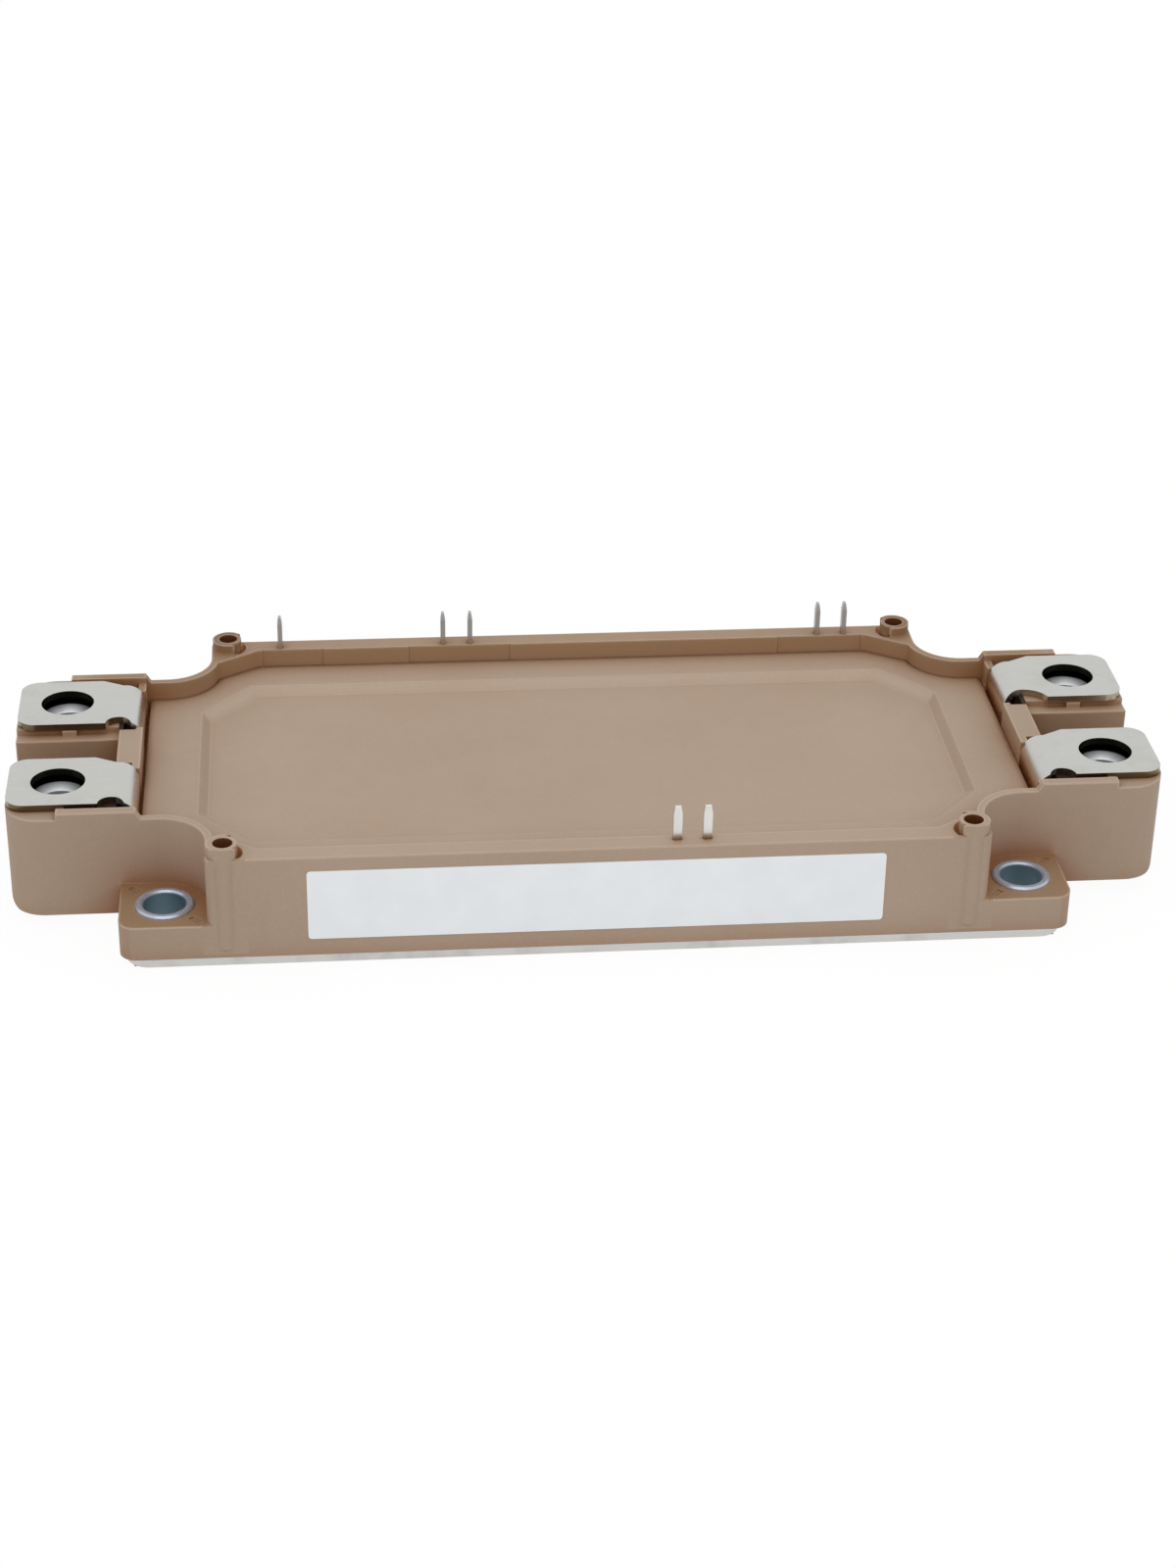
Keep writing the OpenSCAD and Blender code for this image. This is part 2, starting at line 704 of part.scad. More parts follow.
module silicone_gel() color(gel_clear) difference() {
    union() {
        slab(plate_t, gel_top) square([2 * lower_x, 2 * lower_y], center = true);
        slab(pin_ledge_z, gel_top) waisted(upper_x, upper_y, upper_end_x, upper_end_y, upper_corner);
        slab(terminal_ledge_z, gel_top) square([2 * upper_end_x, 2 * upper_end_y], center = true);
    }
    for (side = SIDES) at_tile(side) {
        copper_underside();
        ceramic_tile();
        copper_tracks();
        igbt(high_y);
        igbt(low_y);
        diode(high_y);
        diode(low_y);
        bond_wires();
    }
    for (corner = CORNERS) at_terminal(corner) across_leg() leg_profile();
    terminal_wires();
    signal_wires();
    at_tile(SIDES[2]) thermistor();
    signal_pins();
}

// ---------------------------------------------------------------- the module

base_plate();
housing_frame();
lid();
label();
for (corner = CORNERS) {
    at_corner(corner) bushing();
    at_terminal(corner) terminal_nut();
}
for (corner = [CORNERS[0], CORNERS[1], CORNERS[2]])
    at_terminal(corner) power_terminal(notch_small_x, notch_small, notch_small_depth);
at_terminal(CORNERS[3]) power_terminal(notch_wide_x, notch_wide, notch_wide_depth);  // power_terminal_back_right
for (i = [0 : len(back_pins) - 1])
    translate([back_pins[i] * pin_grid, 0, 0]) back_pin();
for (i = [0 : len(front_pins) - 1])
    translate([front_pins[i] * pin_grid, 0, 0]) front_pin();
for (side = SIDES) {
    at_tile(side) ceramic_tile();
    at_tile(side) copper_underside();
    at_tile(side) copper_tracks();
    at_tile(side) igbt(high_y);
    at_tile(side) igbt(low_y);
    at_tile(side) diode(high_y);
    at_tile(side) diode(low_y);
    at_tile(side) bond_wires();
}
terminal_wires();
signal_wires();
at_tile(SIDES[2]) thermistor();
silicone_gel();
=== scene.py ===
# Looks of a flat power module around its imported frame: camera, studio light and materials.
# Every visible piece is a CAD node, and this script gives each one a node-based material.
import math

import bpy
from mathutils import Matrix, Vector


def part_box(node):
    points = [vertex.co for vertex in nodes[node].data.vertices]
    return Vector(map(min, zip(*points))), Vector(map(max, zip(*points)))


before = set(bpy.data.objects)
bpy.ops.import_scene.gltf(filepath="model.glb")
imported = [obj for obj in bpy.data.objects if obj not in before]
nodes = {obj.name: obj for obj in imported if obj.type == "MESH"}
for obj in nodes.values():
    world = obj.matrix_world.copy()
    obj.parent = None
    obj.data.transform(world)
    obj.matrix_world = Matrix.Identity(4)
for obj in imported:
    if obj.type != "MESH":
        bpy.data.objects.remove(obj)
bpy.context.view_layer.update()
MM = 0.001

scene = bpy.context.scene
scene.view_settings.view_transform = "Standard"

# ---------------------------------------------------------------- camera

CAMERA_PLACE = Vector((-34.456, -358.749, 206.338)) * MM
# degrees: azimuth turns left from +Y (so this turns right), elevation looks down on the
# module, and roll is anticlockwise
CAMERA_AZIMUTH = -5.64
CAMERA_ELEVATION = 28.8
CAMERA_ROLL = 0.99
LENS_MM = 70.04
SENSOR_MM = 36
CLIP_FROM, CLIP_TO = 0.01, 50


def make_camera():
    data = bpy.data.cameras.new("camera")
    data.sensor_fit = "AUTO"
    data.sensor_width = SENSOR_MM
    data.lens = LENS_MM
    data.clip_start = CLIP_FROM
    data.clip_end = CLIP_TO
    camera = bpy.data.objects.new("camera", data)
    scene.collection.objects.link(camera)
    heading = Matrix.Rotation(math.radians(CAMERA_AZIMUTH), 4, "Z")
    tilt = Matrix.Rotation(math.radians(90 - CAMERA_ELEVATION), 4, "X")
    roll = Matrix.Rotation(math.radians(CAMERA_ROLL), 4, "Z")
    camera.matrix_world = Matrix.Translation(CAMERA_PLACE) @ heading @ tilt @ roll
    scene.camera = camera


# ---------------------------------------------------------------- node trees


class Nodes:
    """A node tree with short calls for making and joining its nodes."""

    def __init__(self, tree):
        self.tree = tree
        tree.nodes.clear()

    def new(self, kind, **inputs):
        node = self.tree.nodes.new(kind)
        for name, value in inputs.items():
            node.inputs[name.replace("_", " ")].default_value = value
        return node

    def link(self, output, socket):
        self.tree.links.new(output, socket)

    def fill(self, socket, value):
        """Gives a socket a number or a colour, or links it to an output."""
        if isinstance(value, (int, float)):
            socket.default_value = value
        elif isinstance(value, tuple):
            socket.default_value = (*value, 1)
        else:
            self.link(value, socket)

    def maths(self, operation, a, b=0):
        node = self.new("ShaderNodeMath")
        node.operation = operation
        self.fill(node.inputs[0], a)
        self.fill(node.inputs[1], b)
        return node.outputs[0]

    def size_of(self, value):
        return self.maths("ABSOLUTE", value)

    def axes(self, vector):
        split = self.new("ShaderNodeSeparateXYZ")
        self.link(vector, split.inputs[0])
        return split.outputs[0], split.outputs[1], split.outputs[2]

    def mixed_shader(self, share, first, second):
        node = self.new("ShaderNodeMixShader")
        self.link(share, node.inputs[0])
        self.link(first.outputs[0], node.inputs[1])
        self.link(second.outputs[0], node.inputs[2])
        return node

    def seen_directly(self):
        """1 for camera, glossy and transmission rays, 0 for the rest."""
        ray = self.new("ShaderNodeLightPath").outputs
        first = self.maths("MAXIMUM", ray["Is Camera Ray"], ray["Is Glossy Ray"])
        return self.maths("MAXIMUM", first, ray["Is Transmission Ray"])


# ---------------------------------------------------------------- light and floor

WORLD_LIGHT = 0.85
WORLD_TINT = (1.0, 0.985, 0.965, 1)
LAMP_TINT = (1.0, 0.985, 0.96)
WHITE = (1, 1, 1, 1)
# name, place and size in metres, watts
LAMPS = (
    ("front_softbox", (-0.10, -0.75, 0.85), (1.0, 0.7), 2.0),
    ("top_softbox", (-0.10, 0.25, 1.0), (0.9, 0.7), 0.5),
)

FLOOR_HALF = 6
FLOOR_DROP = 0.0001
FLOOR_BOUNCE = 0.72
FLOOR_SHADOW = 0.05
FLOOR_GLOW = 1.0 - FLOOR_SHADOW * 0.95
# the patch under the module, painted dark shade that shows through the bushings' bores, half its
# sides in metres
BORE_PATCH = (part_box("base_plate")[1].x - 1.0 * MM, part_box("base_plate")[1].y - 0.6 * MM)
BORE_PATCH_COLOUR = (0.06, 0.095, 0.12, 1)


def grey(level):
    return (level, level, level, 1)


def make_world():
    """Soft light on the object, and plain white for what is seen directly."""
    world = bpy.data.worlds.new("studio")
    scene.world = world
    world.use_nodes = True
    t = Nodes(world.node_tree)
    soft = t.new("ShaderNodeBackground", Color=WORLD_TINT, Strength=WORLD_LIGHT)
    white = t.new("ShaderNodeBackground", Color=WHITE, Strength=1.0)
    mixed = t.mixed_shader(t.seen_directly(), soft, white)
    t.link(mixed.outputs[0], t.new("ShaderNodeOutputWorld").inputs["Surface"])


def area_lamp(name, place, size, watts):
    data = bpy.data.lights.new(name, "AREA")
    data.shape = "RECTANGLE"
    data.size, data.size_y = size
    data.energy = watts
    data.color = LAMP_TINT
    lamp = bpy.data.objects.new(name, data)
    scene.collection.objects.link(lamp)
    lamp.location = place
    lamp.rotation_euler = (-Vector(place)).to_track_quat("-Z", "Y").to_euler()


def floor_material():
    """White with the object's shadow; a patch of painted dark shade under the module, seen through
    the bores; clear from below.
    """
    material = bpy.data.materials.new("floor")
    material.use_nodes = True
    t = Nodes(material.node_tree)
    bounce = t.new("ShaderNodeBsdfDiffuse", Color=grey(FLOOR_BOUNCE))
    shade = t.new("ShaderNodeBsdfDiffuse", Color=grey(FLOOR_SHADOW))
    glow = t.new("ShaderNodeEmission", Strength=FLOOR_GLOW)
    shown = t.new("ShaderNodeAddShader")
    t.link(shade.outputs[0], shown.inputs[0])
    t.link(glow.outputs[0], shown.inputs[1])
    pale = t.mixed_shader(t.seen_directly(), bounce, shown)
    x, y, _ = t.axes(t.new("ShaderNodeTexCoord").outputs["Object"])
    in_x = t.maths("LESS_THAN", t.size_of(x), BORE_PATCH[0])
    in_y = t.maths("LESS_THAN", t.size_of(y), BORE_PATCH[1])
    camera_ray = t.new("ShaderNodeLightPath").outputs["Is Camera Ray"]
    patch = t.maths("MULTIPLY", t.maths("MULTIPLY", in_x, in_y), camera_ray)
    dark = t.new("ShaderNodeEmission", Color=BORE_PATCH_COLOUR)
    above = t.mixed_shader(patch, pale, dark)
    from_below = t.new("ShaderNodeNewGeometry").outputs["Backfacing"]
    last = t.mixed_shader(from_below, above, t.new("ShaderNodeBsdfTransparent"))
    t.link(last.outputs[0], t.new("ShaderNodeOutputMaterial").inputs["Surface"])
    return material


def make_floor():
    corners = [(x * FLOOR_HALF, y * FLOOR_HALF, 0) for x, y in ((-1, -1), (1, -1), (1, 1), (-1, 1))]
    mesh = bpy.data.meshes.new("floor")
    mesh.from_pydata(corners, [], [(0, 1, 2, 3)])
    floor = bpy.data.objects.new("floor", mesh)
    scene.collection.objects.link(floor)
    floor.location.z = -FLOOR_DROP
    floor.data.materials.append(floor_material())


# ---------------------------------------------------------------- material trees

X, Y, Z = 0, 1, 2
CRISP = 0.04    # half the width, in mm, over which a mask's edge fades
AO_SAMPLES = 6
BEVEL_SAMPLES = 6
FACING_SAMPLES = 8


class Tree(Nodes):
    """A material's tree: masks by place in mm, noise, and mixes of colours."""

    def __init__(self, name):
        self.material = bpy.data.materials.new(name)
        self.material.use_nodes = True
        super().__init__(self.material.node_tree)
        self.shader = self.new("ShaderNodeBsdfPrincipled")
        out = self.new("ShaderNodeOutputMaterial")
        self.link(self.shader.outputs[0], out.inputs["Surface"])
        scale = self.new("ShaderNodeVectorMath")
        scale.operation = "SCALE"
        scale.inputs["Scale"].default_value = 1 / MM
        self.link(self.new("ShaderNodeTexCoord").outputs["Object"], scale.inputs[0])
        self.mm = scale.outputs[0]

    def set(self, **values):
        for key, value in values.items():
            self.shader.inputs[key.replace("_", " ")].default_value = value

    def drive(self, name, output):
        self.link(output, self.shader.inputs[name])

    # values

    def noise(self, scale, detail=3.0, rough=0.5, stretch=None):
        vector = self.mm
        if stretch:
            node = self.new("ShaderNodeVectorMath")
            node.operation = "MULTIPLY"
            node.inputs[1].default_value = stretch
            self.link(vector, node.inputs[0])
            vector = node.outputs[0]
        node = self.new("ShaderNodeTexNoise", Scale=scale, Detail=detail, Roughness=rough)
        self.link(vector, node.inputs["Vector"])
        return node.outputs["Fac"]

    def span(self, value, low, high, start=0.3, end=0.7):
        """low up to start, high from end on, and even between them."""
        node = self.new("ShaderNodeMapRange", From_Min=start, From_Max=end, To_Min=low, To_Max=high)
        self.link(value, node.inputs["Value"])
        return node.outputs[0]

    def rise(self, value, start, end):
        return self.span(value, 0, 1, start, end)

    def fall(self, value, start, end):
        return self.span(value, 1, 0, start, end)

    def inverse(self, mask):
        return self.fall(mask, 0, 1)

    def both(self, *masks):
        result = masks[0]
        for mask in masks[1:]:
            result = self.maths("MULTIPLY", result, mask)
        return result

    # places

    def sides(self):
        """X and Y with their signs, in mm."""
        return self.axes(self.mm)[:2]

    def place(self):
        """Distance from the middle along X and Y, and height, in mm."""
        x, y, z = self.axes(self.mm)
        return self.size_of(x), self.size_of(y), z

    def between(self, value, low, high):
        rise = self.rise(value, low - CRISP, low + CRISP)
        return self.maths("MULTIPLY", rise, self.fall(value, high - CRISP, high + CRISP))

    def within(self, place, zone):
        """1 inside a zone that is given as ranges along x, y and z."""
        return self.both(*(self.between(value, *ends) for value, ends in zip(place, zone)))

    def around(self, x, y, at, radius, soft=CRISP):
        """1 within the radius of an upright axis."""
        flat = self.new("ShaderNodeCombineXYZ")
        self.link(x, flat.inputs[0])
        self.link(y, flat.inputs[1])
        far = self.new("ShaderNodeVectorMath")
        far.operation = "DISTANCE"
        far.inputs[1].default_value = (*at, 0)
        self.link(flat.outputs[0], far.inputs[0])
        return self.fall(far.outputs["Value"], radius - soft, radius + soft)

    # faces

    def rounded(self, radius_mm, samples=BEVEL_SAMPLES):
        """The surface's normal as if its edges were rounded."""
        node = self.new("ShaderNodeBevel", Radius=radius_mm * MM)
        node.samples = samples
        return node.outputs[0]

    def edges(self, radius_mm):
        """1 on flat surfaces, less near edges within the radius."""
        dot = self.new("ShaderNodeVectorMath")
        dot.operation = "DOT_PRODUCT"
        self.link(self.rounded(radius_mm), dot.inputs[0])
        self.link(self.new("ShaderNodeNewGeometry").outputs["Normal"], dot.inputs[1])
        return dot.outputs["Value"]

    def openness(self, reach_mm):
        """1 in the open, less in corners and gaps."""
        node = self.new("ShaderNodeAmbientOcclusion", Distance=reach_mm * MM)
        node.samples = AO_SAMPLES
        return node.outputs["AO"]

    def along(self, axis):
        """1 on faces that look along an axis, either way."""
        normal = self.new("ShaderNodeNewGeometry").outputs["Normal"]
        return self.rise(self.size_of(self.axes(normal)[axis]), 0.5, 0.7)

    # results

    def mix(self, share, a, b, blend="MIX"):
        node = self.new("ShaderNodeMix")
        node.data_type = "RGBA"
        node.blend_type = blend
        self.link(share, node.inputs[0])
        self.fill(node.inputs[6], a)
        self.fill(node.inputs[7], b)
        return node.outputs[2]

    def tinted(self, colour, *tints):
        """The colour times each tint where its mask is 1."""
        for mask, tint in tints:
            colour = self.mix(mask, colour, tint, "MULTIPLY")
        return colour

    def painted(self, colour, *paints):
        """Each paint over the colour where its mask is 1."""
        for mask, paint in paints:
            colour = self.mix(mask, colour, paint)
        return colour

    def bump(self, height, distance_mm, strength, normal=None):
        node = self.new("ShaderNodeBump", Distance=distance_mm * MM, Strength=strength)
        self.link(height, node.inputs["Height"])
        if normal:
            self.link(normal, node.inputs["Normal"])
        self.link(node.outputs[0], self.shader.inputs["Normal"])


def srgb(r, g, b):
    """Linear colour of an sRGB colour given as 0 to 255."""
    parts = (r / 255, g / 255, b / 255)
    return tuple(c / 12.92 if c <= 0.04045 else ((c + 0.055) / 1.055) ** 2.4 for c in parts)


# ---------------------------------------------------------------- landmarks, in mm


def upright_axis(node):
    """Where a round upright piece has its axis."""
    low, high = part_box(node)
    return tuple((a + b) / 2 / MM for a, b in zip(low[:2], high[:2]))


def reach(node):
    """How far a node reaches: its highest x, y and z."""
    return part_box(node)[1] / MM


# x and y are distances from the middle and z is the height above the heatsink. rise and fall
# fade a mask over a pair of them, and between and within keep it to the inside of a pair.
MOUNT_HOLE = upright_axis("bushing_back_right")
TAB_SCREW = upright_axis("terminal_nut_back_right")
HALF_WIDTH = reach("housing_frame").y
LID_END = reach("lid").x
LID_TOP = reach("lid").z
TAB_TOP = reach("power_terminal_back_right").z
NUT_TOP = reach("terminal_nut_back_right").z
BUSHING_TOP = reach("bushing_back_right").z

MIDDLE = (-1, 1)                    # front turns into back, and left into right
BODY_END = (49.4, 49.7)
LONG_WALL = (HALF_WIDTH - 0.5, HALF_WIDTH - 0.4)
FLANGE_TOP = (BUSHING_TOP - 0.3, BUSHING_TOP + 0.1)
BACK_TINT_FROM = LID_TOP - 0.1

COLUMN_X = (44.5, 50.2)             # the half-round columns under the posts
COLUMN_SEAM_Z = (2.2, 15.6)
COLUMN_FLUSH_Z = (0.5, 15.6)

POST = (47.25, HALF_WIDTH - 2.15)
POST_RADIUS = 2.1
POST_TINT_RADIUS = 2.3
POST_FOOT = (15.9, 16.2)
PILOT_RADIUS = 1.29

LEDGE_RADIUS = 2.6                  # the low ledge beside each post
LEDGE_X = (44.4, 47.2)
LEDGE_Y = (26.0, 30.2)
LEDGE_FLOOR = (14.0, 14.1)
LEDGE_TOP = (15.7, 15.79)

POCKET = (54.0, 24.0)               # the hollow over each screw flange
POCKET_RADIUS, POCKET_SOFT = 10.5, 5.0
POCKET_FADE_Z = (8.0, 16.5)

TAB_ROOM_Z = (LID_TOP - 0.8, TAB_TOP - 0.95)    # the rooms at the terminals' tabs
BESIDE_TAB = ((59.2, 68.5), (15.4, 18.2), TAB_ROOM_Z)
BACK_NOTCH = ((59.2, 61.5), (4.6, 7.4), TAB_ROOM_Z)
UNDER_TAB_RADIUS = 6.2
UNDER_TAB_Y = (5.9, 16.5)
UNDER_TAB_FLOOR = (9.5, 9.7)

SLOT_WALL_X = (60.5, 80)            # the slot between two terminal blocks
SLOT_WALL_Y = (6.2, 6.4)
SLOT_WALL_Z = (7.5, 15.2)

LID_GAP_X = (LID_END - 0.7, LID_END + 1.1)      # the gap at the lid's ends
LID_GAP_FLOOR = (9.0, 9.2)
LID_GAP_TOP = (LID_TOP - 0.2, LID_TOP - 0.05)

TAB_EDGE_X = (60.9, 80)             # the terminals
TAB_EDGE_Z = (TAB_TOP - 1.1, TAB_TOP - 0.05)
TAB_TOOTH_X = (59.5, 64.6)
TAB_TOOTH_Y = (4.0, 8.0)
TAB_BORE_RADIUS = 3.6
TAB_BORE_Z = (TAB_TOP - 1.2, TAB_TOP - 0.06)
LEG_X = (50, 59.5)
LEG_FADE_Z = (TAB_TOP - 2.4, TAB_TOP - 0.8)

BUSHING_BORE_RADIUS = 2.80
BUSHING_BORE_TOP = (BUSHING_TOP - 0.5, BUSHING_TOP - 0.15)
NUT_MOUTH_RADIUS = 2.75
NUT_MOUTH_Z = (NUT_TOP - 2.7, NUT_TOP - 1.9)
NUT_FACE_RADIUS, NUT_FACE_SOFT = 3.1, 0.5
PIN_FOOT_Z = (15.9, 16.7)

# ---------------------------------------------------------------- plastic

CORNER_REACH = 6.0
CLOSED_FRAME, CLOSED_LID = (0.35, 0.86), (0.35, 0.94)
EDGE_HIGHLIGHT_SHARE = 0.8
EDGE_HIGHLIGHT_MM = 0.5
GRAIN_MM = 0.02
FRAME_ROUND_MM = 0.35
LID_ROUND_MM = 1.2
SLOPE_ROUND_MM = 1.4


def resin(m):
    """Sandy brown with soft clouds and pale flecks."""
    clouds = m.rise(m.noise(0.045, 4.0), 0.35, 0.65)
    colour = m.mix(clouds, srgb(169, 147, 128), srgb(173, 152, 134))
    flecks = m.span(m.noise(2.6, 2.0), 0, 0.4, 0.45, 0.75)
    return m.mix(flecks, colour, srgb(178, 158, 141))


def lid_slope_light_and_shade(m):
    """Painted light and shade on the sunk middle's slopes: pale where they face the label side and
    the light, darker at the ends.
    """
    nx, ny, nz = m.axes(m.rounded(SLOPE_ROUND_MM, FACING_SAMPLES))
    tilted = m.fall(nz, 0.88, 0.999)
    front = m.both(tilted, m.fall(ny, -0.30, -0.02), m.span(m.size_of(nx), 1.0, 0.8, 0.02, 0.14))
    ends = m.both(tilted, m.rise(m.size_of(nx), 0.05, 0.32), m.fall(m.size_of(ny), 0.02, 0.14))
    return (front, (1.13, 1.19, 1.24)), (ends, (0.93, 0.92, 0.92))


def tab_room_shade(m, x, y, z, back_half):
    """The rooms beside and under the terminal tabs, painted nearly black as shade."""
    beside = m.both(m.inverse(back_half), m.within((x, y, z), BESIDE_TAB))
    notch = m.both(back_half, m.within((x, y, z), BACK_NOTCH))
    under = m.both(m.around(x, y, TAB_SCREW, UNDER_TAB_RADIUS), m.rise(z, *UNDER_TAB_FLOOR),
                   m.between(y, *UNDER_TAB_Y))
    return m.maths("MAXIMUM", m.maths("MAXIMUM", beside, notch), under)


def post_ledge_light(m, x, y, z):
    """The low ledge beside each post, on the lid's side, painted pale: painted light over the
    recess's shade.
    """
    ring = m.both(m.around(x, y, POST, LEDGE_RADIUS), m.inverse(m.around(x, y, POST, POST_RADIUS)))
    return m.both(ring, m.between(x, *LEDGE_X), m.between(y, *LEDGE_Y),
                  m.rise(z, *LEDGE_FLOOR), m.fall(z, *LEDGE_TOP))


def flush_normal(m, column, z, signed_y, round_mm):
    """Rounded edges, and flat shading over the columns, whose seam doesn't show."""
    outward = m.new("ShaderNodeCombineXYZ")
    m.link(m.maths("SIGN", signed_y), outward.inputs[1])
    turn = m.new("ShaderNodeMix")
    turn.data_type = "VECTOR"
    m.link(m.both(column, m.between(z, *COLUMN_FLUSH_Z), m.along(Y)), turn.inputs[0])
    m.link(m.rounded(round_mm), turn.inputs[4])
    m.link(outward.outputs[0], turn.inputs[5])
    return turn.outputs[1]


def moulded_plastic(name, lid=False):
    m = Tree(name)
    x, y, z = m.place()
    signed_y = m.sides()[1]
    back = m.rise(signed_y, 12, 27)
    back_half = m.rise(signed_y, *MIDDLE)
    not_level = m.inverse(m.along(Z))
    open_air = m.openness(CORNER_REACH)
    column = m.both(m.between(x, *COLUMN_X), m.rise(y, *LONG_WALL))
    seam = m.both(column, m.between(z, *COLUMN_SEAM_Z))

    # painted shade: the ends, the back rim and walls, the back corners, the back posts' feet and
    # the screw flanges are tinted darker and browner, where less light and sheen fall
    ends = m.rise(x, 40, 58)
    back_rim = m.both(back, m.rise(z, BACK_TINT_FROM, 15.0))
    back_wall = m.both(back, not_level, m.rise(z, BACK_TINT_FROM, 14.0))
    corner = m.both(m.rise(x, 46, 52), m.rise(signed_y, 8, 15), m.rise(z, 13.4, 14.2),
                    m.fall(x, 64, 67))
    back_post = m.both(m.around(x, y, POST, POST_TINT_RADIUS), m.rise(z, *POST_FOOT), back)
    flange = m.both(m.fall(z, *FLANGE_TOP), m.rise(x, *BODY_END), m.along(Z))
    colour = m.tinted(
        resin(m),
        (ends, (0.90, 0.90, 0.88)),
        (back_rim, (0.83, 0.765, 0.67)),
        (back_wall, (0.97, 0.95, 0.84)),
        (corner, (0.84, 0.77, 0.67)),
        (back_post, (0.70, 0.63, 0.58)),
        (flange, (0.80, 0.68, 0.54)),
    )

    # painted shade: corners and gaps are painted browner, and the screw pockets' walls redder and
    # darker
    painted_corner_shade = m.both(m.fall(open_air, *(CLOSED_LID if lid else CLOSED_FRAME)), m.inverse(seam))
    colour = m.painted(colour, (painted_corner_shade, srgb(146, 103, 66)))
    pocket = m.both(m.around(x, y, POCKET, POCKET_RADIUS, POCKET_SOFT),
                    m.fall(z, *POCKET_FADE_Z), not_level, m.fall(y, *LONG_WALL))
    colour = m.tinted(colour, (pocket, (0.95, 0.84, 0.82)))
    # painted light and shade on the lid's slopes
    if lid:
        colour = m.tinted(colour, *lid_slope_light_and_shade(m))

    # painted highlight: open edges are painted pale where rounded edges catch light, and painted
    # shade makes the rooms at the tabs nearly black
    edge_highlight = m.both(m.fall(m.edges(EDGE_HIGHLIGHT_MM), 0.88, 0.99), m.rise(open_air, 0.62, 0.86),
                  m.inverse(column))
    colour = m.painted(
        colour,
        (m.maths("MULTIPLY", edge_highlight, EDGE_HIGHLIGHT_SHARE), srgb(210, 184, 162)),
        (tab_room_shade(m, x, y, z, back_half), srgb(40, 24, 14)),
    )
    # painted shade: the slot's wall between two terminal blocks is tinted darker and browner
    slot_wall = m.both(m.between(z, *SLOT_WALL_Z), m.between(x, *SLOT_WALL_X),
                       m.fall(y, *SLOT_WALL_Y), m.along(Y))
    colour = m.tinted(colour, (slot_wall, (0.86, 0.76, 0.66)))
    # painted light: the faces across the gap at the lid's ends are painted a pale orange-brown, as
    # if lit
    lid_gap = m.both(m.between(x, *LID_GAP_X), m.rise(z, *LID_GAP_FLOOR),
                     m.fall(z, *LID_GAP_TOP), m.along(X))
    colour = m.painted(
        colour,
        (lid_gap, srgb(214, 164, 128)),
        # painted shade: each post's pilot hole is painted dark brown
        (m.around(x, y, POST, PILOT_RADIUS), srgb(98, 54, 20)),
        (post_ledge_light(m, x, y, z), srgb(238, 186, 138)),
    )

    m.drive("Base Color", colour)
    m.drive("Roughness", m.span(m.noise(0.35, 5.0), 0.50, 0.64))
    m.set(Specular_IOR_Level=0.36)
    grain = m.maths("ADD", m.noise(5.0), m.maths("MULTIPLY", m.noise(0.8), 0.6))
    normal = flush_normal(m, column, z, signed_y, LID_ROUND_MM if lid else FRAME_ROUND_MM)
    m.bump(grain, GRAIN_MM, 0.5, normal)
    return m.material


# ---------------------------------------------------------------- metals

METAL_ROUND_MM = 0.10
STREAKS = (1.0, 6.0, 0.65)          # scale, detail and roughness of the brushing's noise
STAINS = (0.22, 4.0, 0.6)
STAIN_SHARE = 0.55
# how much the streaks are squeezed along each axis
EVEN = (2.0, 2.0, 2.0)
ALONG_TAB = (0.25, 3.0, 3.0)
ALONG_PLATE = (0.2, 3.0, 3.0)
ALONG_PIN = (3.0, 3.0, 0.3)
BORE_WAVE = 1.1                     # radians a mm, so that the bores' two sides differ
BORE_GLOW = (0.25, 0.55)
MOUTH_GLOW = 0.15


def plated_metal(name, tint, stain, rough, brush, scratch_mm, paints=None, metallic=1.0):
    """Brushed along one way or even, with stained patches. paints gives (mask, colour) pairs."""
    m = Tree(name)
    streaks = m.noise(*STREAKS, brush)
    patches = m.noise(*STAINS)
    colour = m.mix(m.span(streaks, 0, 1), tint, tuple(min(1, c * 1.07) for c in tint))
    colour = m.painted(colour, (m.span(patches, 0, STAIN_SHARE, 0.52, 0.78), stain))
    if paints:
        colour = m.painted(colour, *paints(m))
    m.drive("Base Color", colour)
    m.set(Metallic=metallic)
    spread = m.span(patches, rough - 0.04, rough + 0.06)
    m.drive("Roughness", m.maths("ADD", m.span(streaks, -0.06, 0.06), spread))
    height = m.maths("ADD", streaks, m.maths("MULTIPLY", m.noise(3.0, 2.0), 0.4))
    m.bump(height, scratch_mm, 0.5, m.rounded(METAL_ROUND_MM))
    return m.material


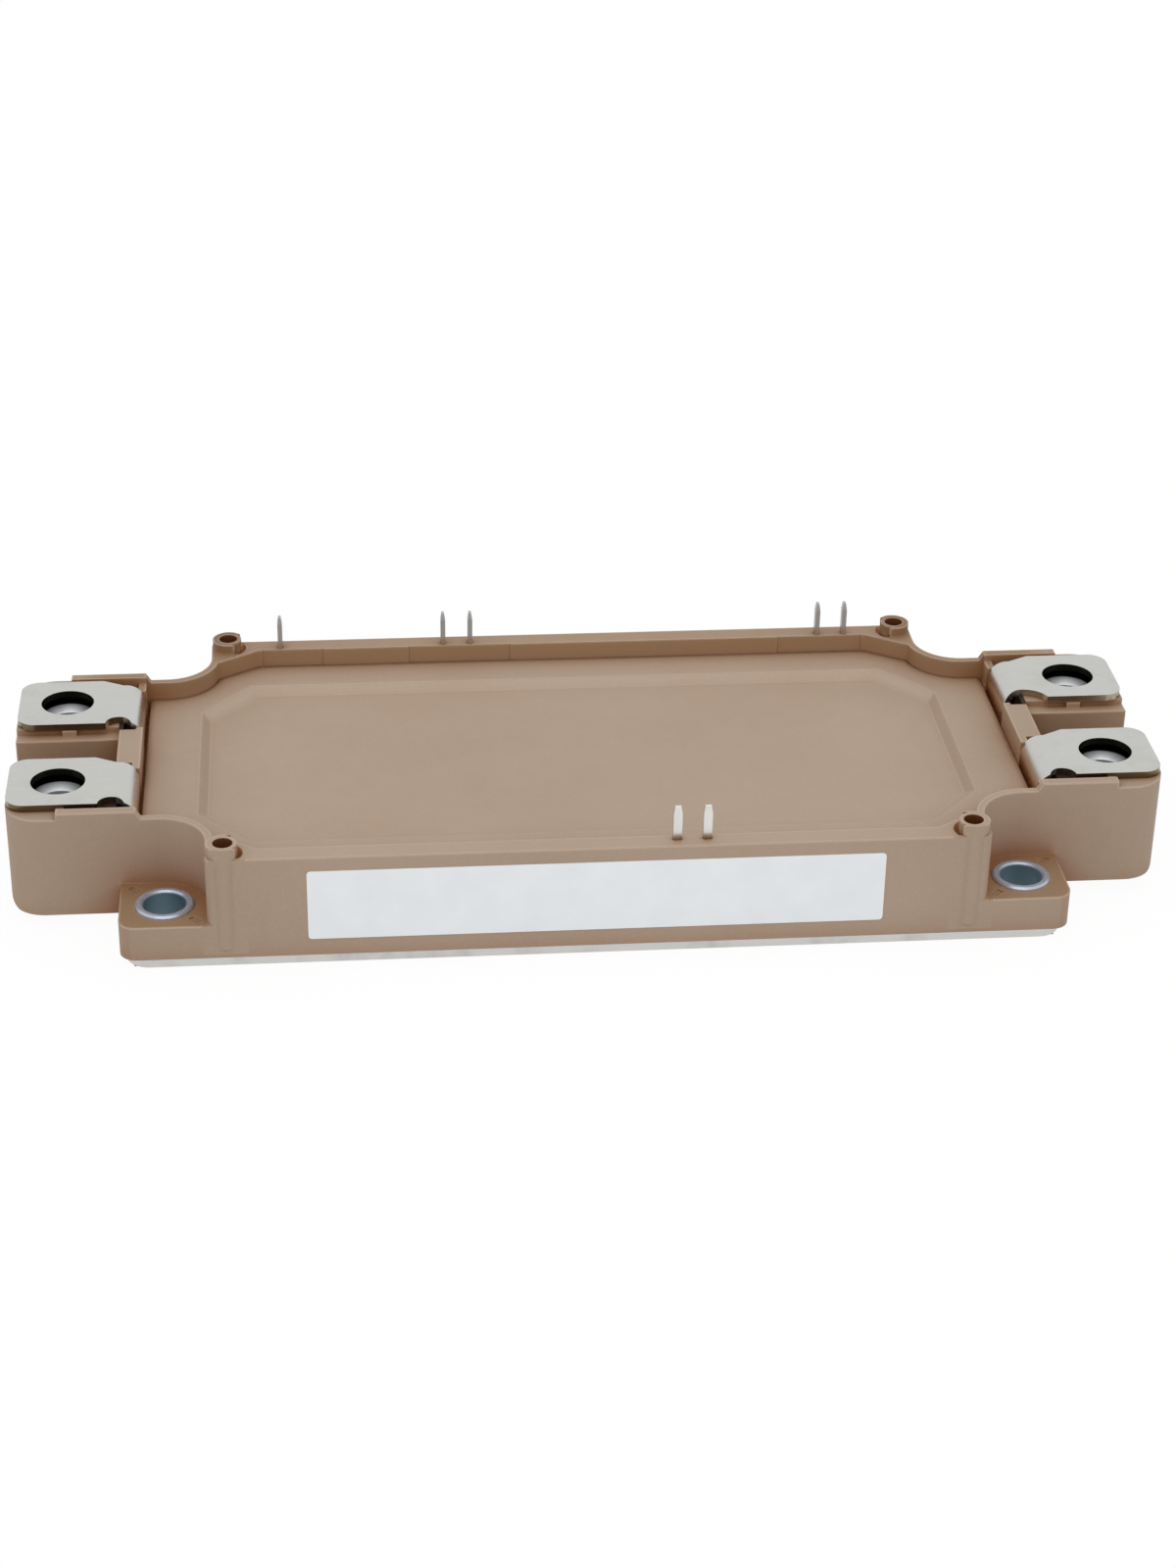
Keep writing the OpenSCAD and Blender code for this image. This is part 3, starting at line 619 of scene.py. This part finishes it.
def terminal_paints(m):
    """Punched edges are painted darker than the plated faces; the notch's tooth and the back right
    tab's edges are painted lighter as a painted highlight, the hole darker as painted shade, and
    the leg brown as a painted reflection of the plastic.
    """
    x, y, z = m.place()
    right, back = m.sides()
    rim = m.both(m.inverse(m.along(Z)), m.between(z, *TAB_EDGE_Z), m.between(x, *TAB_EDGE_X))
    tooth = m.both(rim, m.along(X), m.between(x, *TAB_TOOTH_X), m.between(y, *TAB_TOOTH_Y))
    edge = m.both(rim, m.along(Y))
    back_right_edge = m.both(edge, m.rise(right, *MIDDLE), m.rise(back, *MIDDLE))
    bore = m.both(m.around(x, y, TAB_SCREW, TAB_BORE_RADIUS), m.between(z, *TAB_BORE_Z))
    leg = m.both(m.between(x, *LEG_X), m.fall(z, *LEG_FADE_Z))
    return (
        (rim, srgb(142, 134, 116)),
        (tooth, srgb(222, 212, 194)),
        (edge, srgb(112, 97, 72)),
        (back_right_edge, srgb(168, 156, 134)),
        (bore, srgb(44, 42, 33)),
        (leg, srgb(196, 160, 128)),
    )


def bushing_paints(m):
    """The bore's wall is painted dark blue-grey as shade, with a faint painted glow for the light
    from the bright floor below.
    """
    x, y, z = m.place()
    bore = m.both(m.around(x, y, MOUNT_HOLE, BUSHING_BORE_RADIUS), m.fall(z, *BUSHING_BORE_TOP))
    wave = m.maths("SINE", m.maths("MULTIPLY", m.sides()[0], BORE_WAVE))
    m.set(Emission_Color=(0.07, 0.11, 0.13, 1))
    glow = m.span(wave, *BORE_GLOW, -1, 1)
    m.drive("Emission Strength", m.maths("MULTIPLY", bore, glow))
    return ((bore, srgb(64, 82, 94)),)


def nut_paints(m):
    """The thread's mouth has a painted glow, so it shows nearly as light as the face round it; the
    outside is painted dark as shade.
    """
    x, y, z = m.place()
    mouth = m.both(m.around(x, y, TAB_SCREW, NUT_MOUTH_RADIUS), m.rise(z, *NUT_MOUTH_Z))
    m.set(Emission_Color=(0.40, 0.45, 0.50, 1))
    m.drive("Emission Strength", m.maths("MULTIPLY", mouth, MOUTH_GLOW))
    outside = m.inverse(m.around(x, y, TAB_SCREW, NUT_FACE_RADIUS, NUT_FACE_SOFT))
    return ((outside, srgb(24, 22, 18)),)


def pin_tin():
    """Tinned pins; the back row is painted plain grey and less metallic, and every foot brown like
    the plastic, as painted reflections.
    """
    m = Tree("pin_tin")
    _, signed_y, z = m.axes(m.mm)
    back = m.rise(signed_y, *MIDDLE)
    streaks = m.noise(*STREAKS, ALONG_PIN)
    colour = m.mix(m.span(streaks, 0, 1), srgb(214, 212, 209), srgb(226, 225, 222))
    colour = m.painted(colour, (back, srgb(172, 172, 175)))
    foot_colour = m.mix(back, srgb(152, 116, 88), srgb(158, 134, 114))
    height = m.maths("SUBTRACT", z, m.maths("MULTIPLY", back, 0.5))
    colour = m.painted(colour, (m.span(height, 0.85, 0, *PIN_FOOT_Z), foot_colour))
    m.drive("Base Color", colour)
    m.drive("Metallic", m.span(back, 1.0, 0.35, 0, 1))
    m.drive("Roughness", m.span(streaks, 0.24, 0.36))
    m.bump(streaks, 0.005, 0.5, m.rounded(METAL_ROUND_MM))
    return m.material


# ---------------------------------------------------------------- label and inner pieces


def label_film():
    """A plain white film, left without print."""
    m = Tree("label_film")
    tone = m.span(m.noise(0.25), 0, 1)
    m.drive("Base Color", m.mix(tone, srgb(234, 240, 245), srgb(240, 245, 249)))
    m.drive("Roughness", m.span(m.noise(1.5), 0.32, 0.44))
    m.bump(m.noise(1.1), 0.01, 0.3)
    return m.material


def simple(name, low, high, scale, rough, metallic=0.0, bump_mm=0.01, **values):
    """Two close tones in a noise of one scale, for the pieces inside."""
    m = Tree(name)
    m.drive("Base Color", m.mix(m.span(m.noise(scale, 4.0), 0, 1), low, high))
    m.drive("Roughness", m.span(m.noise(scale * 2), rough - 0.05, rough + 0.05))
    m.set(Metallic=metallic, **values)
    m.bump(m.noise(scale * 3), bump_mm, 0.4)
    return m.material


# ---------------------------------------------------------------- the scene

make_camera()
make_world()
make_floor()
for lamp in LAMPS:
    area_lamp(*lamp)

PLASTIC = moulded_plastic("housing_plastic")
LID = moulded_plastic("lid_plastic", lid=True)
NICKEL = plated_metal("terminal_nickel", srgb(190, 190, 186), srgb(180, 178, 170), 0.30,
                      ALONG_TAB, 0.004, terminal_paints)
TIN = pin_tin()
ZINC = plated_metal("zinc_steel", srgb(176, 184, 200), srgb(160, 168, 186), 0.30,
                    EVEN, 0.004, bushing_paints, metallic=0.55)
NUT = plated_metal("nut_zinc", srgb(183, 185, 187), srgb(168, 173, 178), 0.42,
                   EVEN, 0.004, nut_paints)
PLATE = plated_metal("plate_nickel", srgb(200, 199, 196), srgb(170, 165, 158), 0.33,
                     ALONG_PLATE, 0.006)
LABEL = label_film()
CERAMIC = simple("substrate_ceramic", srgb(228, 227, 220), srgb(240, 240, 234), 1.2, 0.55)
COPPER = simple("substrate_copper", srgb(206, 132, 92), srgb(222, 152, 112), 0.8, 0.35, 1.0)
SILICON = simple("chip_silicon", srgb(78, 84, 94), srgb(96, 102, 112), 0.6, 0.22, 0.6, 0.002)
WIRE = simple("wire_aluminium", srgb(214, 216, 219), srgb(228, 229, 231), 3.0, 0.3, 1.0, 0.004)
BLACK = simple("thermistor_body", srgb(34, 34, 36), srgb(46, 46, 48), 2.0, 0.35)
GEL = simple("silicone_gel", srgb(196, 212, 218), srgb(206, 220, 226), 0.2, 0.12, 0.0, 0.004,
             Transmission_Weight=0.85, IOR=1.41)

# how each node's name starts, and its material
BY_NAME = (
    ("housing_frame", PLASTIC), ("lid", LID), ("label", LABEL), ("base_plate", PLATE),
    ("bushing", ZINC), ("power_terminal", NICKEL), ("terminal_nut", NUT), ("signal_pin", TIN),
    ("ceramic_tile", CERAMIC), ("copper_", COPPER), ("igbt_", SILICON), ("diode_", SILICON),
    ("bond_wires", WIRE), ("terminal_wires", WIRE), ("signal_wires", WIRE),
    ("thermistor", BLACK), ("silicone_gel", GEL),
)

for name, obj in nodes.items():
    material = next(m for start, m in BY_NAME if name.startswith(start))
    obj.data.materials.clear()
    obj.data.materials.append(material)
